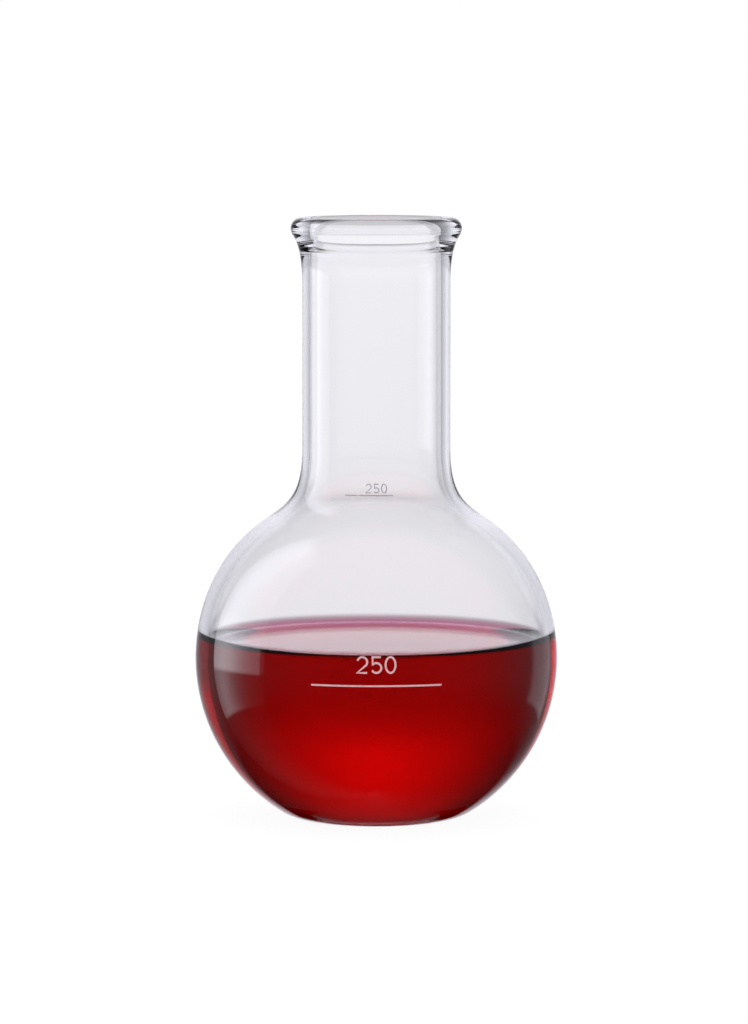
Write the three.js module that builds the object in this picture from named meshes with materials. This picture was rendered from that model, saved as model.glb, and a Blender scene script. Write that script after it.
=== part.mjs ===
// Flat-bottomed, narrow-neck boiling flask of clear glass, part-filled with a red liquid.
// Millimetres, +Z up. The origin is the centre of the resting face, and -Y is the printed front.
// The glass is one blown piece: flat base, round body, shoulder, neck and beaded rim.
// Outlines are (radius, height) points, turned about the Z axis.

import * as THREE from 'three';

// ---- driving dimensions ----

const TURN_SEGMENTS = 48;

const BODY_RADIUS = 42.5;
const BODY_CENTRE_Z = 37.5;
const BASE_RADIUS = 16.8;
const SHOULDER_RADIUS = 37.6;
const SHOULDER_FROM = 20;
const SHOULDER_TO = 57;

const NECK_RADIUS = 17.35;
const NECK_FLARE_Z = 87;
const FLARE_NECK_PULL = 10;
const FLARE_SHOULDER_PULL = 6;

const BEAD_RADIUS = 20;
const BEAD_ROUND = 2.6;
const BEAD_CENTRE_Z = 138.1;
const BEAD_UNDER_ANGLE = 34;
const BEAD_FLARE_Z = 126;
const BEAD_NECK_PULL = 4;
const BEAD_UNDER_PULL = 3;
const RIM_TOP_Z = BEAD_CENTRE_Z + BEAD_ROUND;
const RING_LINES_Z = [132.8, 137.4];
const RING_LINE_WIDTH = 0.4;
const RING_LINE_DEPTH = 0.12;

const BODY_WALL = 2.6;
const NECK_WALL = 2.2;
const BASE_WALL = 2.6;
const INNER_FLOOR_RADIUS = 14.5;
const INNER_FLARE_EXTRA_PULL = 1.2;
const BORE_RADIUS = NECK_RADIUS - NECK_WALL;

const LIQUID_GAP = 0.3;
const LIQUID_LEVEL_Z = 41.2;
const CAPILLARY_LENGTH = 1.77;
const MENISCUS_RISE = CAPILLARY_LENGTH * Math.SQRT2;

const PRINT_GAP = 0.1;
const PRINT_THICKNESS = 0.2;
const MITRE_LIMIT = 0.75;
const NECK_MARK_Z = 77.3;
const BODY_PRINT_Z = 39;
const BODY_RULE_Z = 36.2;

// ---- materials ----

const glass = { color: 0xe4e8ec, roughness: 0.03, metalness: 0 };
const liquid = { color: 0xa00010, roughness: 0.05, metalness: 0 };
const greyEnamel = { color: 0x9a9aa0, roughness: 0.6, metalness: 0 };
const whiteEnamel = { color: 0xe6b4b4, roughness: 0.6, metalness: 0 };

const flask = new THREE.Group();

function addPiece(name, geometry, finish) {
  const mesh = new THREE.Mesh(geometry, new THREE.MeshStandardMaterial(finish));
  mesh.name = name;
  flask.add(mesh);
}

// ---- outline helpers ----

const radians = THREE.MathUtils.degToRad;
const point = (r, z) => new THREE.Vector2(r, z);
const polar = (angle, length) => point(length * Math.cos(angle), length * Math.sin(angle));

// Points of a circular arc. Angles are in degrees from horizontal, and may run either way.
function arc(centre, radius, from, to, steps) {
  const clockwise = to < from;
  const curve = new THREE.EllipseCurve(
    centre.x, centre.y, radius, radius, radians(from), radians(to), clockwise);
  return curve.getPoints(steps);
}

function bezier(start, startPull, endPull, end, steps) {
  return new THREE.CubicBezierCurve(start, startPull, endPull, end).getPoints(steps);
}

// Joins stretches of points, and drops a point that repeats the one before it.
function joinOutline(...stretches) {
  const apart = 1e-4;
  const kept = [];
  for (const next of stretches.flat()) {
    const last = kept.at(-1);
    if (!last || last.distanceTo(next) > apart) kept.push(next);
  }
  return kept;
}

function turn(outline) {
  const geometry = new THREE.LatheGeometry(outline, TURN_SEGMENTS);
  return geometry.rotateX(Math.PI / 2);
}

// ---- the round vessel: floor, heel, body, shoulder and flare ----

// The heel is the arc that touches both the flat floor and the round body.
function heelRadius(bodyRadius, floorZ, floorRadius) {
  const depth = BODY_CENTRE_Z - floorZ;
  return (bodyRadius ** 2 - floorRadius ** 2 - depth ** 2) / (2 * (bodyRadius - depth));
}

function bowl(bodyRadius, floorZ, floorRadius, upTo) {
  const heel = heelRadius(bodyRadius, floorZ, floorRadius);
  const heelCentre = point(floorRadius, floorZ + heel);
  const bodyCentre = point(0, BODY_CENTRE_Z);
  const toHeel = heelCentre.clone().sub(bodyCentre);
  const meet = THREE.MathUtils.radToDeg(Math.atan2(toHeel.y, toHeel.x));
  return joinOutline(
    [point(0, floorZ)],
    arc(heelCentre, heel, -90, meet, 4),
    arc(bodyCentre, bodyRadius, meet, upTo, 8));
}

// The shoulder is a tighter arc than the body, and the flare bends from it up into the neck.
// inset is 0 for the outer face and the wall's thickness for the inner face.
function shoulderAndFlare(inset, neckRadius, extraPull) {
  const from = radians(SHOULDER_FROM);
  const to = radians(SHOULDER_TO);
  const centre = point(0, BODY_CENTRE_Z).add(polar(from, BODY_RADIUS - SHOULDER_RADIUS));
  const radius = SHOULDER_RADIUS - inset;
  const shoulderEnd = centre.clone().add(polar(to, radius));
  const flareEnd = point(neckRadius, NECK_FLARE_Z);
  const uphill = polar(to + Math.PI / 2, FLARE_SHOULDER_PULL + extraPull);
  const down = point(0, -FLARE_NECK_PULL - extraPull);
  return joinOutline(
    arc(centre, radius, SHOULDER_FROM, SHOULDER_TO, 5),
    bezier(shoulderEnd, shoulderEnd.clone().add(uphill), flareEnd.clone().add(down), flareEnd, 7));
}

// The bead swells out of the neck and rounds over the rim to the bore.
function bead() {
  const under = radians(-BEAD_UNDER_ANGLE);
  const centre = point(BEAD_RADIUS - BEAD_ROUND, BEAD_CENTRE_Z);
  const start = point(NECK_RADIUS, BEAD_FLARE_Z);
  const end = centre.clone().add(polar(under, BEAD_ROUND));
  const downhill = polar(under - Math.PI / 2, BEAD_UNDER_PULL);
  const innerRound = centre.x - BORE_RADIUS;
  return joinOutline(
    bezier(start, point(NECK_RADIUS, BEAD_FLARE_Z + BEAD_NECK_PULL), end.clone().add(downhill), end, 5),
    arc(centre, BEAD_ROUND, -BEAD_UNDER_ANGLE, 90, 6),
    arc(point(centre.x, RIM_TOP_Z - innerRound), innerRound, 90, 180, 4));
}

// The radius where a rising outline passes a height.
function radiusAt(outline, z) {
  const above = outline.findIndex((p, i) => i > 0 && p.y >= z);
  const low = outline[above - 1];
  const high = outline[above];
  return THREE.MathUtils.mapLinear(z, low.y, high.y, low.x, high.x);
}

// Cuts one of the fine lines that the shaping tool left round the bead.
function scored(outline, z) {
  const half = RING_LINE_WIDTH / 2;
  const lower = outline.findIndex((p) => p.y > z - half);
  const upper = outline.findIndex((p) => p.y > z + half);
  return [
    ...outline.slice(0, lower),
    point(radiusAt(outline, z - half), z - half),
    point(radiusAt(outline, z) - RING_LINE_DEPTH, z),
    point(radiusAt(outline, z + half), z + half),
    ...outline.slice(upper)];
}

const plainOuterFace = joinOutline(
  bowl(BODY_RADIUS, 0, BASE_RADIUS, SHOULDER_FROM),
  shoulderAndFlare(0, NECK_RADIUS, 0),
  bead());
const outerFace = RING_LINES_Z.reduce(scored, plainOuterFace);

const innerFace = joinOutline(
  bowl(BODY_RADIUS - BODY_WALL, BASE_WALL, INNER_FLOOR_RADIUS, SHOULDER_FROM),
  shoulderAndFlare(BODY_WALL, BORE_RADIUS, INNER_FLARE_EXTRA_PULL));

addPiece('flask_body', turn(joinOutline(outerFace, innerFace.toReversed())), glass);

// ---- the liquid: a bowl shape whose surface climbs the wall in a meniscus ----

// The curve that surface tension draws, given by its slope: upright at the wall, then levelling out.
function meniscus(contactRadius) {
  const slopes = [90, 68, 48, 33, 21, 12, 6, 2.5];
  const run = (slope) => Math.acosh(1 / Math.sin(slope / 2)) - 2 * Math.cos(slope / 2);
  return slopes.map(radians).map((slope) => {
    const inward = CAPILLARY_LENGTH * (run(slope) - run(Math.PI / 2));
    const rise = CAPILLARY_LENGTH * 2 * Math.sin(slope / 2);
    return point(contactRadius - inward, LIQUID_LEVEL_Z + rise);
  });
}

function liquidOutline() {
  const radius = BODY_RADIUS - BODY_WALL - LIQUID_GAP;
  const contactZ = LIQUID_LEVEL_Z + MENISCUS_RISE;
  const contactAngle = Math.asin((contactZ - BODY_CENTRE_Z) / radius);
  return joinOutline(
    bowl(radius, BASE_WALL + LIQUID_GAP, INNER_FLOOR_RADIUS, THREE.MathUtils.radToDeg(contactAngle)),
    meniscus(radius * Math.cos(contactAngle)),
    [point(0, LIQUID_LEVEL_Z)]);
}

addPiece('red_liquid', turn(liquidOutline()), liquid);

// ---- printed enamel: flat shapes wrapped on to the outer face at the front ----

// Wraps x along the surface and y up it, with z as the height off the glass.
function wrapOnFront(geometry, baseZ) {
  const spots = geometry.getAttribute('position');
  const roundRadius = radiusAt(outerFace, baseZ);
  for (let i = 0; i < spots.count; i++) {
    const z = baseZ + spots.getY(i);
    const radius = radiusAt(outerFace, z) + PRINT_GAP + spots.getZ(i);
    const angle = spots.getX(i) / roundRadius;
    spots.setXYZ(i, radius * Math.sin(angle), -radius * Math.cos(angle), z);
  }
  return geometry;
}

// A level bar that starts at x = bar.from, in short steps so that it follows the curve.
function printedBar(name, bar, z, finish) {
  const longestStep = 1.5;
  const strip = new THREE.BoxGeometry(
    bar.length, bar.height, PRINT_THICKNESS, Math.ceil(bar.length / longestStep), 1, 1);
  strip.translate(bar.from + bar.length / 2, 0, PRINT_THICKNESS / 2);
  addPiece(name, wrapOnFront(strip, z), finish);
}

// Outline of a pen stroke along a centre line, mitred at its corners.
function strokeShape(line, pen) {
  const left = [];
  const right = [];
  line.forEach((here, i) => {
    const before = line[Math.max(i - 1, 0)];
    const after = line[Math.min(i + 1, line.length - 1)];
    const arriving = (i > 0 ? here.clone().sub(before) : after.clone().sub(here)).normalize();
    const leaving = (i < line.length - 1 ? after.clone().sub(here) : arriving.clone()).normalize();
    const along = arriving.clone().add(leaving).normalize();
    const reach = Math.min(pen / 2 / along.dot(leaving), MITRE_LIMIT * pen);
    const side = point(-along.y, along.x).multiplyScalar(reach);
    left.push(here.clone().add(side));
    right.push(here.clone().sub(side));
  });
  return new THREE.Shape([...right, ...left.reverse()]);
}

// Plain single-stroke numerals, centred on x = 0 and standing on y = 0.
const numerals = {
  2: (half, height, pen) => {
    const bowlCentre = point(0, height - pen / 2 - half);
    const line = [...arc(bowlCentre, half, 165, -38, 9), point(-half, pen / 2), point(half, pen / 2)];
    return strokeShape(line, pen);
  },
  5: (half, height, pen) => {
    const top = height - pen / 2;
    const bowlCentre = point(0, pen / 2 + half);
    const upperLeft = point(-0.78 * half, top);
    const bowlLine = arc(bowlCentre, half, 138, -150, 11);
    return strokeShape([point(0.9 * half, top), upperLeft, ...bowlLine], pen);
  },
  0: (half, height, pen) => {
    const ring = new THREE.Shape();
    ring.absellipse(0, height / 2, half + pen / 2, height / 2, 0, 2 * Math.PI, false, 0);
    const hole = new THREE.Path();
    hole.absellipse(0, height / 2, half - pen / 2, height / 2 - pen, 0, 2 * Math.PI, true, 0);
    ring.holes.push(hole);
    return ring;
  },
};

function printedNumber(prefix, digits, z, size, finish) {
  const half = (size.width - size.pen) / 2;
  digits.forEach((digit, i) => {
    const shape = numerals[digit](half, size.height, size.pen);
    const body = new THREE.ExtrudeGeometry(
      shape, { depth: PRINT_THICKNESS, bevelEnabled: false, curveSegments: 14 });
    body.translate((i - (digits.length - 1) / 2) * size.pitch, 0, 0);
    addPiece(`${prefix}_digit_${digit}`, wrapOnFront(body, z), finish);
  });
}

const neckNumeral = { width: 1.4, height: 2.2, pitch: 1.8, pen: 0.24 };
const bodyNumeral = { width: 2.7, height: 4, pitch: 3.2, pen: 0.45 };
const neckNumeralLift = 0.5;
const neckDash = { from: -7.3, length: 2.9, height: 0.25 };
const neckLine = { from: -4, length: 7.8, height: 0.25 };
const bodyRule = { from: -15, length: 30, height: 0.4 };
const capacity = [2, 5, 0];

printedBar('neck_mark_dash', neckDash, NECK_MARK_Z, greyEnamel);
printedBar('neck_mark_line', neckLine, NECK_MARK_Z, greyEnamel);
printedNumber('neck', capacity, NECK_MARK_Z + neckNumeralLift, neckNumeral, greyEnamel);
printedNumber('body', capacity, BODY_PRINT_Z, bodyNumeral, whiteEnamel);
printedBar('body_rule', bodyRule, BODY_RULE_Z, whiteEnamel);

export default flask;
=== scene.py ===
import math

import bmesh
import bpy
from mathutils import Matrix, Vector


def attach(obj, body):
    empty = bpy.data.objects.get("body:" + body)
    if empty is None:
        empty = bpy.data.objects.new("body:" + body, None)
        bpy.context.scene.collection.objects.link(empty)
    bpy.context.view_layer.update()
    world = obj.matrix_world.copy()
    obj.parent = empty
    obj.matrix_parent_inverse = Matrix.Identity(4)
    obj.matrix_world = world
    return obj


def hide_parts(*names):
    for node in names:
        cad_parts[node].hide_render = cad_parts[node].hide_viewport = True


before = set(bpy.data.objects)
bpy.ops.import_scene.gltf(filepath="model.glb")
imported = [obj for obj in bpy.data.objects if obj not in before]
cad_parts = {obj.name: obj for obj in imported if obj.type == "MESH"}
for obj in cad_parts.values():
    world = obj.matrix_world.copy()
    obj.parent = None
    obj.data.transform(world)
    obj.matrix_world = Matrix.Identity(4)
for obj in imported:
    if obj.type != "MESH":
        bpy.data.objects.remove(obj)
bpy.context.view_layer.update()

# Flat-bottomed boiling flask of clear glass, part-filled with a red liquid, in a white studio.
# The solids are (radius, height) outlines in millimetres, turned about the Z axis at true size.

MM = 0.001

# ---- the flask's driving dimensions, the same as the CAD model's ----

BODY_RADIUS = 42.5
BODY_CENTRE_Z = 37.5
BASE_RADIUS = 16.8
SHOULDER_RADIUS = 37.6
SHOULDER_FROM = 20
SHOULDER_TO = 57

NECK_RADIUS = 17.35
NECK_FLARE_Z = 87
FLARE_NECK_PULL = 10
FLARE_SHOULDER_PULL = 6

BEAD_RADIUS = 20
BEAD_ROUND = 2.6
BEAD_CENTRE_Z = 138.1
BEAD_UNDER_ANGLE = 34
BEAD_FLARE_Z = 126
BEAD_NECK_PULL = 4
BEAD_UNDER_PULL = 3
RIM_TOP_Z = BEAD_CENTRE_Z + BEAD_ROUND
RING_LINES_Z = (132.8, 137.4)
RING_LINE_WIDTH = 0.4
RING_LINE_DEPTH = 0.12

BODY_WALL = 2.6
NECK_WALL = 2.2
BASE_WALL = 2.6
INNER_FLOOR_RADIUS = 14.5
INNER_FLARE_EXTRA_PULL = 1.2
BORE_RADIUS = NECK_RADIUS - NECK_WALL

# The liquid reaches a little into the glass, so that no air shows between them.
LIQUID_OVERLAP = 0.03
LIQUID_LEVEL_Z = 41.2
CAPILLARY_LENGTH = 1.77

TURN_SEGMENTS = 256
CREASE_ANGLE = 60


# ---- outlines ----

def point(r, z):
    return Vector((r, z))


def polar(angle, length):
    return point(length * math.cos(angle), length * math.sin(angle))


def line(start, end, steps):
    """Points from start towards end, without end itself."""
    return [start + (end - start) * (i / steps) for i in range(steps)]


def arc(centre, radius, start, end, steps):
    """Points of a circular arc. Angles are in degrees from horizontal, and may run either way."""
    turns = [start + (end - start) * i / steps for i in range(steps + 1)]
    return [centre + polar(math.radians(turn), radius) for turn in turns]


def bezier(start, start_pull, end_pull, end, steps):
    found = []
    for i in range(steps + 1):
        t = i / steps
        s = 1 - t
        found.append(
            start * s ** 3 + start_pull * (3 * s * s * t) + end_pull * (3 * s * t * t) + end * t ** 3
        )
    return found


def join_outline(*stretches):
    """Joins stretches of points, and drops a point that repeats the one before it."""
    apart = 1e-4
    kept = []
    for stretch in stretches:
        for spot in stretch:
            if not kept or (spot - kept[-1]).length > apart:
                kept.append(spot)
    return kept


def bowl(body_radius, floor_z, floor_radius, up_to):
    """Flat floor, the heel arc that touches both floor and body, and the body up to an angle."""
    depth = BODY_CENTRE_Z - floor_z
    heel = (body_radius ** 2 - floor_radius ** 2 - depth ** 2) / (2 * (body_radius - depth))
    heel_centre = point(floor_radius, floor_z + heel)
    body_centre = point(0, BODY_CENTRE_Z)
    to_heel = heel_centre - body_centre
    meet = math.degrees(math.atan2(to_heel.y, to_heel.x))
    return join_outline(
        line(point(0, floor_z), point(floor_radius, floor_z), steps=8),
        arc(heel_centre, heel, -90, meet, steps=16),
        arc(body_centre, body_radius, meet, up_to, steps=40),
    )


def shoulder_and_flare(inset, neck_radius, extra_pull):
    """The shoulder's tighter arc, then the flare up into the neck. inset is the wall's thickness
    for the inner face."""
    start = math.radians(SHOULDER_FROM)
    end = math.radians(SHOULDER_TO)
    centre = point(0, BODY_CENTRE_Z) + polar(start, BODY_RADIUS - SHOULDER_RADIUS)
    radius = SHOULDER_RADIUS - inset
    shoulder_end = centre + polar(end, radius)
    flare_end = point(neck_radius, NECK_FLARE_Z)
    uphill = polar(end + math.pi / 2, FLARE_SHOULDER_PULL + extra_pull)
    down = point(0, -FLARE_NECK_PULL - extra_pull)
    return join_outline(
        arc(centre, radius, SHOULDER_FROM, SHOULDER_TO, steps=20),
        bezier(shoulder_end, shoulder_end + uphill, flare_end + down, flare_end, steps=28),
    )


def neck_and_bead():
    """The straight neck, the swelling of the bead and its rounded rim, down to the bore."""
    under = math.radians(-BEAD_UNDER_ANGLE)
    centre = point(BEAD_RADIUS - BEAD_ROUND, BEAD_CENTRE_Z)
    start = point(NECK_RADIUS, BEAD_FLARE_Z)
    end = centre + polar(under, BEAD_ROUND)
    downhill = polar(under - math.pi / 2, BEAD_UNDER_PULL)
    up = point(0, BEAD_NECK_PULL)
    inner_round = centre.x - BORE_RADIUS
    return join_outline(
        line(point(NECK_RADIUS, NECK_FLARE_Z), start, steps=20),
        bezier(start, start + up, end + downhill, end, steps=16),
        arc(centre, BEAD_ROUND, -BEAD_UNDER_ANGLE, 90, steps=24),
        arc(point(centre.x, RIM_TOP_Z - inner_round), inner_round, 90, 180, steps=16),
    )


def scored(outline, z):
    """Cuts one of the two fine grooves round the bead."""
    def radius_at(height):
        above = next(i for i, spot in enumerate(outline) if i and spot.y >= height)
        low, high = outline[above - 1], outline[above]
        return low.x + (high.x - low.x) * (height - low.y) / (high.y - low.y)

    half = RING_LINE_WIDTH / 2
    lower = next(i for i, spot in enumerate(outline) if spot.y > z - half)
    upper = next(i for i, spot in enumerate(outline) if spot.y > z + half)
    groove = [
        point(radius_at(z - half), z - half),
        point(radius_at(z) - RING_LINE_DEPTH, z),
        point(radius_at(z + half), z + half),
    ]
    return outline[:lower] + groove + outline[upper:]


def glass_outline():
    outer = join_outline(
        bowl(BODY_RADIUS, 0, BASE_RADIUS, SHOULDER_FROM),
        shoulder_and_flare(0, NECK_RADIUS, 0),
        neck_and_bead(),
    )
    for z in RING_LINES_Z:
        outer = scored(outer, z)
    inner = join_outline(
        bowl(BODY_RADIUS - BODY_WALL, BASE_WALL, INNER_FLOOR_RADIUS, SHOULDER_FROM),
        shoulder_and_flare(BODY_WALL, BORE_RADIUS, INNER_FLARE_EXTRA_PULL),
        line(point(BORE_RADIUS, NECK_FLARE_Z), point(BORE_RADIUS, BEAD_CENTRE_Z), steps=24),
    )
    return join_outline(outer, inner[::-1])


def meniscus(contact_radius):
    """The surface from the wall inwards: the curve that surface tension draws, by its slope in
    degrees, upright where it wets the wall and all but level where it ends."""
    def run(slope):
        return math.acosh(1 / math.sin(slope / 2)) - 2 * math.cos(slope / 2)

    steep = [90 - 3.5 * i for i in range(20)]
    gentle = [20 * 0.77 ** i for i in range(17)]
    upright = math.radians(90)
    climb = []
    for degrees in steep + gentle:
        slope = math.radians(degrees)
        inward = CAPILLARY_LENGTH * (run(slope) - run(upright))
        rise = CAPILLARY_LENGTH * 2 * math.sin(slope / 2)
        climb.append(point(contact_radius - inward, LIQUID_LEVEL_Z + rise))
    return climb


def liquid_outline():
    """The bowl of the wet wall, and the surface with its meniscus."""
    radius = BODY_RADIUS - BODY_WALL + LIQUID_OVERLAP
    contact_z = LIQUID_LEVEL_Z + CAPILLARY_LENGTH * math.sqrt(2)
    contact_angle = math.asin((contact_z - BODY_CENTRE_Z) / radius)
    climb = meniscus(radius * math.cos(contact_angle))
    level_steps = 12
    level = [point(climb[-1].x * (1 - i / level_steps), LIQUID_LEVEL_Z) for i in range(1, level_steps + 1)]
    return join_outline(
        bowl(radius, BASE_WALL - LIQUID_OVERLAP, INNER_FLOOR_RADIUS, math.degrees(contact_angle)),
        climb,
        level,
    )


# ---- turned solids ----

def turned(name, outline, material):
    """A closed solid of revolution. The outline starts and ends on the axis, bottom first."""
    on_axis = 1e-6
    shape = bmesh.new()
    rings = []
    for spot in outline:
        if spot.x < on_axis:
            rings.append([shape.verts.new((0, 0, spot.y * MM))])
            continue
        ring = []
        for i in range(TURN_SEGMENTS):
            angle = 2 * math.pi * i / TURN_SEGMENTS
            ring.append(shape.verts.new(
                (spot.x * MM * math.cos(angle), spot.x * MM * math.sin(angle), spot.y * MM)
            ))
        rings.append(ring)
    for lower, upper in zip(rings, rings[1:]):
        for i in range(TURN_SEGMENTS):
            j = (i + 1) % TURN_SEGMENTS
            low_side = [lower[i % len(lower)], lower[j % len(lower)]]
            high_side = [upper[j % len(upper)], upper[i % len(upper)]]
            # A ring on the axis is a single point, so its side of the face closes up.
            shape.faces.new(list(dict.fromkeys(low_side + high_side)))
    bmesh.ops.recalc_face_normals(shape, faces=shape.faces)
    mesh = bpy.data.meshes.new(name)
    shape.to_mesh(mesh)
    shape.free()
    for face in mesh.polygons:
        face.use_smooth = True
    # The thin edge where the liquid meets the wall stays a crease.
    mesh.set_sharp_from_angle(angle=math.radians(CREASE_ANGLE))
    piece = bpy.data.objects.new(name, mesh)
    bpy.context.scene.collection.objects.link(piece)
    piece.data.materials.append(material)
    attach(piece, "root")
    return piece


# ---- materials ----

def new_material(name):
    material = bpy.data.materials.new(name)
    material.use_nodes = True
    nodes = material.node_tree.nodes
    return material, nodes, material.node_tree.links, nodes["Principled BSDF"]


def noise(nodes, links, size, stretch=1, detail=2):
    """Noise in object space. Its features are about size millimetres wide, and stretch times as tall."""
    place = nodes.new("ShaderNodeTexCoord")
    mapping = nodes.new("ShaderNodeMapping")
    mapping.inputs["Scale"].default_value = (1, 1, 1 / stretch)
    texture = nodes.new("ShaderNodeTexNoise")
    texture.inputs["Scale"].default_value = 1 / (size * MM)
    texture.inputs["Detail"].default_value = detail
    links.new(place.outputs["Object"], mapping.inputs["Vector"])
    links.new(mapping.outputs["Vector"], texture.inputs["Vector"])
    return texture.outputs[0]


def spread(nodes, links, value, low, high, to_low, to_high):
    """Maps low..high to to_low..to_high, and holds the ends beyond them."""
    node = nodes.new("ShaderNodeMapRange")
    links.new(value, node.inputs["Value"])
    for name, setting in zip(("From Min", "From Max", "To Min", "To Max"), (low, high, to_low, to_high)):
        node.inputs[name].default_value = setting
    return node.outputs["Result"]


def bump(nodes, links, height, depth, before=None):
    """Bumps depth millimetres high, on top of the bumps in before."""
    node = nodes.new("ShaderNodeBump")
    node.inputs["Distance"].default_value = depth * MM
    links.new(height, node.inputs["Height"])
    if before:
        links.new(before, node.inputs["Normal"])
    return node.outputs["Normal"]


def mixed_colour(nodes, links, factor, first, second):
    """The colour first where factor is 0, and second where it is 1."""
    colour_a, colour_b, colour_result = 6, 7, 2
    node = nodes.new("ShaderNodeMix")
    node.data_type = "RGBA"
    links.new(factor, node.inputs["Factor"])
    node.inputs[colour_a].default_value = (*first, 1)
    node.inputs[colour_b].default_value = (*second, 1)
    return node.outputs[colour_result]


def absorb(material, colour, density):
    """Fills the inside. What one metre of it takes out is density x (1 - colour)."""
    nodes = material.node_tree.nodes
    volume = nodes.new("ShaderNodeVolumeAbsorption")
    volume.inputs["Color"].default_value = (*colour, 1)
    volume.inputs["Density"].default_value = density
    material.node_tree.links.new(volume.outputs["Volume"], nodes["Material Output"].inputs["Volume"])


def glass_material():
    material, nodes, links, shader = new_material("borosilicate_glass")
    shader.inputs["Base Color"].default_value = (1, 1, 1, 1)
    shader.inputs["IOR"].default_value = 1.474
    shader.inputs["Transmission Weight"].default_value = 1
    # Broad waves from blowing, fine streaks along the draw, and a few faint smudges.
    waves = bump(nodes, links, noise(nodes, links, size=14, stretch=1.5, detail=0), depth=0.03)
    draw = noise(nodes, links, size=1.6, stretch=40, detail=1)
    streaks = bump(nodes, links, draw, depth=0.002, before=waves)
    links.new(streaks, shader.inputs["Normal"])
    smudges = spread(nodes, links, noise(nodes, links, size=9, detail=4), 0.55, 0.8, 0, 0.03)
    links.new(smudges, shader.inputs["Roughness"])
    # Long ways through the wall come out faintly blue-grey.
    absorb(material, (0.25, 0.35, 1), density=3)
    return material


def liquid_material():
    material, nodes, links, shader = new_material("red_liquid")
    shader.inputs["Base Color"].default_value = (1, 1, 1, 1)
    shader.inputs["Roughness"].default_value = 0
    shader.inputs["IOR"].default_value = 1.333
    shader.inputs["Transmission Weight"].default_value = 1
    # The surface is all but still.
    ripples = bump(nodes, links, noise(nodes, links, size=16, detail=1), depth=0.01)
    links.new(ripples, shader.inputs["Normal"])
    absorb(material, (0.961, 0, 0.47), density=400)
    return material


def enamel_material(name, worn, full):
    """Fired enamel: slightly uneven in cover, with a fine grain."""
    material, nodes, links, shader = new_material(name)
    cover = spread(nodes, links, noise(nodes, links, size=0.5, detail=3), 0.3, 0.6, 0, 1)
    links.new(mixed_colour(nodes, links, cover, worn, full), shader.inputs["Base Color"])
    grain = noise(nodes, links, size=0.12)
    links.new(bump(nodes, links, grain, depth=0.02), shader.inputs["Normal"])
    links.new(spread(nodes, links, grain, 0.3, 0.7, 0.45, 0.7), shader.inputs["Roughness"])
    return material


glass = turned("glass", glass_outline(), glass_material())
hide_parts("flask_body")

liquid = turned("liquid", liquid_outline(), liquid_material())
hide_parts("red_liquid")

neck_enamel = enamel_material("neck_enamel", (0.46, 0.46, 0.49), (0.36, 0.36, 0.39))
body_enamel = enamel_material("body_enamel", (0.62, 0.34, 0.35), (0.8, 0.5, 0.5))
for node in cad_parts.values():
    name = node.name
    if name.startswith("neck_"):
        node.data.materials[0] = neck_enamel
    elif name.startswith("body_"):
        node.data.materials[0] = body_enamel


# ---- studio: a pale floor, a lit backdrop and softboxes, all as nodes ----
# Azimuths, elevations and widths are in degrees. A strength of 1 is as bright as the page.

class LightNodes:
    """Light as a function of direction or place, built from nodes in one tree."""

    def __init__(self, tree):
        self.nodes = tree.nodes
        self.links = tree.links
        self.nodes.clear()
        self.path = self.nodes.new("ShaderNodeLightPath").outputs

    def feed(self, value, socket):
        if hasattr(value, "node"):
            self.links.new(value, socket)
        else:
            socket.default_value = value

    def math(self, operation, *values):
        node = self.nodes.new("ShaderNodeMath")
        node.operation = operation
        for value, socket in zip(values, node.inputs):
            self.feed(value, socket)
        return node.outputs[0]

    def add(self, *values):
        total = values[0]
        for value in values[1:]:
            total = self.math("ADD", total, value)
        return total

    def times(self, *values):
        total = values[0]
        for value in values[1:]:
            total = self.math("MULTIPLY", total, value)
        return total

    def angles(self, vector):
        """Azimuth in degrees, 0 at +Y and positive towards +X, and elevation in degrees."""
        split = self.nodes.new("ShaderNodeSeparateXYZ")
        self.links.new(vector, split.inputs[0])
        x, y, z = split.outputs
        azimuth = self.times(self.math("ARCTAN2", x, y), 180 / math.pi)
        elevation = self.times(self.math("ARCSINE", z), 180 / math.pi)
        return azimuth, elevation

    def ramp(self, value, low, high):
        """0 below low, 1 above high, and smooth between. low may be above high."""
        node = self.nodes.new("ShaderNodeMapRange")
        node.interpolation_type = "SMOOTHSTEP"
        if low > high:
            node.inputs["To Min"].default_value = 1
            node.inputs["To Max"].default_value = 0
            low, high = high, low
        self.feed(value, node.inputs["Value"])
        node.inputs["From Min"].default_value = low
        node.inputs["From Max"].default_value = high
        return node.outputs["Result"]

    def window(self, value, low, high, soft):
        """1 between low and high, and smoothly 0 outside."""
        rise = self.ramp(value, low - soft / 2, low + soft / 2)
        fall = self.ramp(value, high + soft / 2, high - soft / 2)
        return self.times(rise, fall)

    def from_centre(self, azimuth, centre):
        """Azimuth measured from centre, wrapped to -180..180 degrees."""
        return self.math("WRAP", self.math("SUBTRACT", azimuth, centre), 180, -180)

    def relative(self, value, width, power=2):
        """How far value is from 0, in widths and raised to a power."""
        widths = self.math("ABSOLUTE", self.math("DIVIDE", value, width))
        return self.math("POWER", widths, power)

    def lobe(self, value, width, power=2):
        """1 where value is 0, one half at width, and falling away beyond."""
        return self.math("DIVIDE", 1, self.add(1, self.relative(value, width, power)))

    def deeper(self, kind, count):
        """1 once light has met more than count surfaces of a kind on its way, 0 before that."""
        return self.math("GREATER_THAN", self.path[kind + " Depth"], count + 0.5)

    def mix(self, factor, a, b):
        """a where factor is 0, and b where it is 1."""
        return self.add(self.times(self.math("SUBTRACT", 1, factor), a), self.times(factor, b))


BACKDROP_TINT = (0.97, 0.962, 1)
GLARE_TINT = (0.98, 0.972, 1.045)

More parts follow.
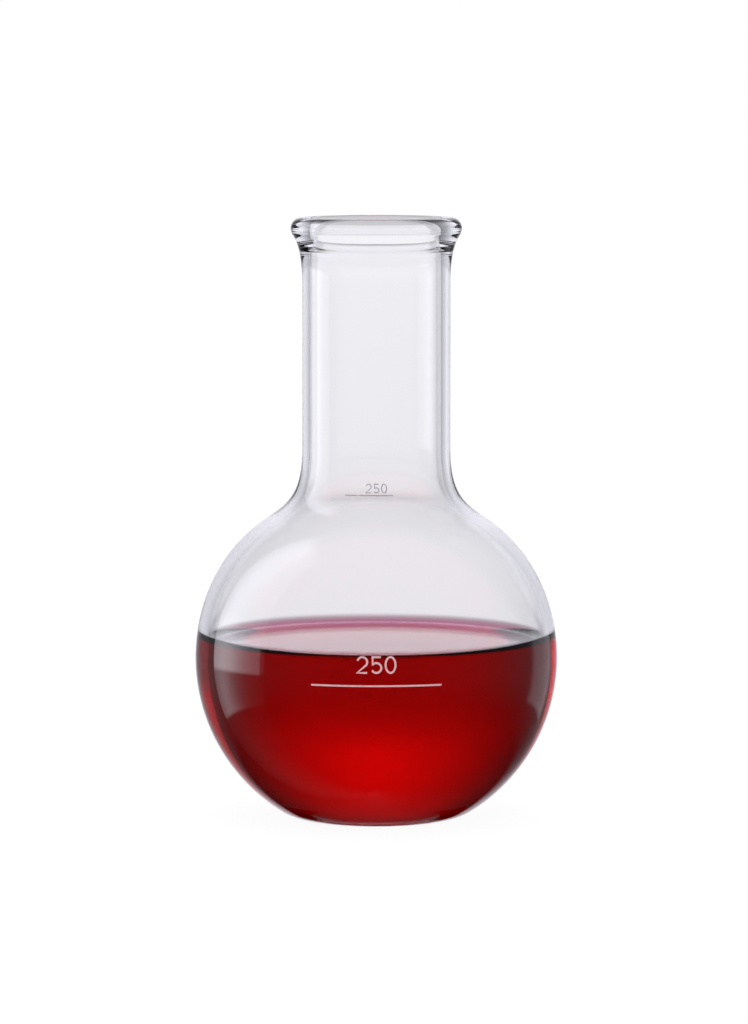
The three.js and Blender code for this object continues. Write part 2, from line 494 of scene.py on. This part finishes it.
# The table runs from under the flask, at TABLE_NEAR, to its far edge.
TABLE_NEAR = -28
TABLE_FAR = -7


def table_and_wall(light, elevation, near, wall):
    """near on the table under the flask, rising to wall at the table's far edge and above."""
    return light.mix(light.ramp(elevation, TABLE_NEAR, TABLE_FAR), near, wall)


def backdrop(light, azimuth, elevation):
    """The lit wall behind the flask as seen through the liquid, brightest in the middle."""
    across = light.lobe(azimuth, 23, power=3)
    narrow = light.mix(light.ramp(elevation, -34, -14), 1, across)
    fade = light.ramp(elevation, 52, 24)
    wall = light.times(table_and_wall(light, elevation, near=0.5, wall=0.98), narrow, fade)

    spot_elevation = 10
    height = light.math("SUBTRACT", elevation, spot_elevation)
    above = light.relative(light.math("MAXIMUM", height, 0), 13)
    below = light.relative(light.math("MINIMUM", height, 0), 7)
    spot_height = light.math("EXPONENT", light.times(light.add(above, below), -1))
    spot = light.times(1.1, spot_height, light.lobe(azimuth, 11))

    in_front = light.ramp(light.math("ABSOLUTE", azimuth), 90, 120)
    fill = light.times(in_front, table_and_wall(light, elevation, near=0.35, wall=0.9))
    return light.add(wall, spot, fill)


def left_softbox(light, azimuth, elevation):
    """A softbox standing on the table: bright above the table's edge, with its image below."""
    half_width = 23.5
    across = light.window(light.from_centre(azimuth, -78), -half_width, half_width, soft=1.5)
    peak = light.mix(light.lobe(light.from_centre(azimuth, -70), 17), 0.3, 3.3)
    above_table = light.ramp(elevation, -8.5, -6.5)
    image = light.times(
        light.ramp(elevation, -23.5, -21.5),
        light.lobe(light.from_centre(azimuth, -62), 12),
    )
    rise = light.mix(above_table, light.add(0.02, light.times(0.4, image)), 1)
    dimming = light.mix(light.ramp(elevation, 4, 16), 1, 0.6)
    top = light.ramp(elevation, 66, 56)
    return light.times(across, peak, rise, dimming, top)


def right_softbox(light, azimuth, elevation, inner_edge, soft):
    outer_edge = 62
    across = light.window(azimuth, inner_edge, outer_edge, soft)
    return light.times(across, light.ramp(elevation, -19, -17), light.ramp(elevation, 60, 50))


def glow(light, azimuth, elevation, width, table):
    """Soft light from behind the flask, fading out to the sides and upwards."""
    across = light.lobe(azimuth, width, power=3)
    return light.times(across, table, light.ramp(elevation, 60, 24))


def off_outer_face(light, azimuth, elevation, left):
    """What the outer face mirrors."""
    near_table = light.ramp(elevation, -31, -27)
    right = light.times(0.45, right_softbox(light, azimuth, elevation, inner_edge=34, soft=8))
    return light.add(glow(light, azimuth, elevation, 15, near_table), left, right)


def mirrored_inside(light, azimuth, elevation, left):
    """What is mirrored inside the glass wall and by the liquid's surface."""
    table = light.times(1.03, table_and_wall(light, elevation, near=0.08, wall=1))
    middle = light.times(0.21, glow(light, azimuth, elevation, 12, table))
    wide = glow(light, azimuth, elevation, 40, table)
    return light.add(wide, middle, light.times(0.2, left), 0.02)


def through_empty_glass(light, azimuth, elevation):
    """An even ground, with a darker stretch on each side that draws the lines down the neck."""
    table = light.mix(light.ramp(elevation, -22, -12), 0.7, 0.95)
    ground = light.mix(light.ramp(elevation, TABLE_FAR, 0), table, 1.02)
    sides = light.window(light.math("ABSOLUTE", azimuth), 16, 33, soft=3)
    return light.times(ground, light.mix(sides, 1, 0.74))


def through_liquid(light, azimuth, elevation, left):
    far_right = right_softbox(light, azimuth, elevation, inner_edge=45, soft=3)
    high = light.mix(light.ramp(elevation, 0, 8), 0.35, 1.1)
    return light.add(backdrop(light, azimuth, elevation), left, light.times(high, far_right))


def studio_world():
    """Light that reaches the camera straight off the glass, from inside the wall, through empty
    glass or through the liquid is set apart, as a studio does with flags and cards."""
    world = bpy.data.worlds.new("studio")
    bpy.context.scene.world = world
    world.use_nodes = True
    light = LightNodes(world.node_tree)
    azimuth, elevation = light.angles(light.nodes.new("ShaderNodeTexCoord").outputs["Generated"])

    left = left_softbox(light, azimuth, elevation)
    mirrored = light.mix(
        light.deeper("Transmission", 0),
        off_outer_face(light, azimuth, elevation, left),
        mirrored_inside(light, azimuth, elevation, left),
    )
    bounced = light.deeper("Glossy", 0)
    no_liquid = light.mix(bounced, through_empty_glass(light, azimuth, elevation), mirrored)
    # Four surfaces lie in the way of light that passes through empty glass only.
    total = light.mix(
        light.deeper("Transmission", 4),
        no_liquid,
        through_liquid(light, azimuth, elevation, left),
    )

    tint = mixed_colour(light.nodes, light.links, bounced, BACKDROP_TINT, GLARE_TINT)
    studio = light.nodes.new("ShaderNodeBackground")
    light.links.new(tint, studio.inputs["Color"])
    light.links.new(total, studio.inputs["Strength"])
    page = light.nodes.new("ShaderNodeBackground")
    page.inputs["Color"].default_value = (1, 1, 1, 1)
    choose = light.nodes.new("ShaderNodeMixShader")
    output = light.nodes.new("ShaderNodeOutputWorld")
    light.links.new(light.path["Is Camera Ray"], choose.inputs[0])
    light.links.new(studio.outputs[0], choose.inputs[1])
    light.links.new(page.outputs[0], choose.inputs[2])
    light.links.new(choose.outputs[0], output.inputs["Surface"])


def studio_floor():
    """A white floor that shows the flask's faint shadow. Light on its way through the flask
    ignores it: the world's lower half stands for the table."""
    reach = 6
    clear_of_base = 0.0001
    page_strength = 0.94
    shadow_grey = 0.1
    mesh = bpy.data.meshes.new("studio_floor")
    corners = [(-reach, -reach, 0), (reach, -reach, 0), (reach, reach, 0), (-reach, reach, 0)]
    mesh.from_pydata(corners, [], [(0, 1, 2, 3)])
    floor = bpy.data.objects.new("studio_floor", mesh)
    bpy.context.scene.collection.objects.link(floor)
    floor.location.z = -clear_of_base

    material = bpy.data.materials.new("studio_floor")
    material.use_nodes = True
    mesh.materials.append(material)
    light = LightNodes(material.node_tree)
    page = light.nodes.new("ShaderNodeEmission")
    page.inputs["Strength"].default_value = page_strength
    matt = light.nodes.new("ShaderNodeBsdfDiffuse")
    matt.inputs["Color"].default_value = (shadow_grey, shadow_grey, shadow_grey, 1)
    both = light.nodes.new("ShaderNodeAddShader")
    clear = light.nodes.new("ShaderNodeBsdfTransparent")
    choose = light.nodes.new("ShaderNodeMixShader")
    output = light.nodes.new("ShaderNodeOutputMaterial")
    light.links.new(page.outputs[0], both.inputs[0])
    light.links.new(matt.outputs[0], both.inputs[1])
    light.links.new(light.path["Is Camera Ray"], choose.inputs[0])
    light.links.new(clear.outputs[0], choose.inputs[1])
    light.links.new(both.outputs[0], choose.inputs[2])
    light.links.new(choose.outputs[0], output.inputs["Surface"])


studio_floor()
studio_world()


# ---- camera at the photo's angle ----

# Metres, apart from the lens and the sensor, which are in millimetres.
CAMERA_DISTANCE = 1.101
CAMERA_HEIGHT = 0.177
AIM_HEIGHT = 0.0717
SIDE_STEP = -0.00054
LENS = 165.9
SENSOR = 36

camera_data = bpy.data.cameras.new("camera")
camera_data.sensor_fit = "AUTO"
camera_data.sensor_width = SENSOR
camera_data.lens = LENS
camera_data.clip_start = 0.05
camera = bpy.data.objects.new("camera", camera_data)
bpy.context.scene.collection.objects.link(camera)
camera.location = (SIDE_STEP, -CAMERA_DISTANCE, CAMERA_HEIGHT)
aim = Vector((SIDE_STEP, 0, AIM_HEIGHT)) - camera.location
camera.rotation_euler = aim.to_track_quat("-Z", "Y").to_euler()
bpy.context.scene.camera = camera

bpy.context.scene.view_settings.view_transform = "Standard"
